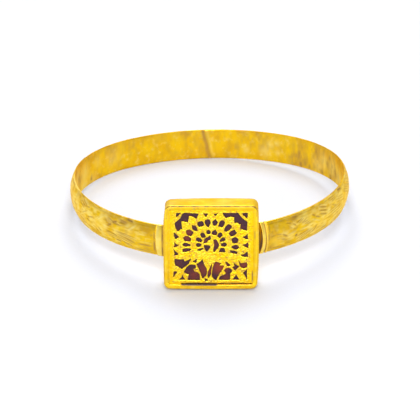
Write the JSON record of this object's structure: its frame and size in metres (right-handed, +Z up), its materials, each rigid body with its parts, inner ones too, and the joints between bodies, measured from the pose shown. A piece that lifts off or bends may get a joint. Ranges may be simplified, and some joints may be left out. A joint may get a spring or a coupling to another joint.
{
  "type": "thewa bangle",
  "caption": "Wrist bangle: a hollow domed gold hoop with chased leaves, closed by a square box setting whose plaque is a pierced gold peacock on dark glass.",
  "frame": {"origin": "the middle of the footprint, on the surface on which the bangle lies", "axes": "+Z up; the setting faces -Y and leans back 6.15 degrees as the bangle rests; +X to the right seen from the front; the longest side runs along Y"},
  "size_m": [0.0626, 0.0642, 0.0196],
  "materials": {
    "band_gold": "chased, softly worn yellow gold",
    "collar_gold": "smooth polished yellow gold",
    "setting_gold": "smooth yellow gold with a folded lip",
    "dark_glass": "dark purple-brown glass, polished",
    "sheet_gold": "bright gold sheet, finely stippled"
  },
  "bodies": {
    "root": {"hoop": "band_gold", "collar_left": "collar_gold", "collar_right": "collar_gold", "setting": "setting_gold", "glass_plate": "dark_glass", "thewa_sheet": "sheet_gold"}
  },
  "joints": []
}
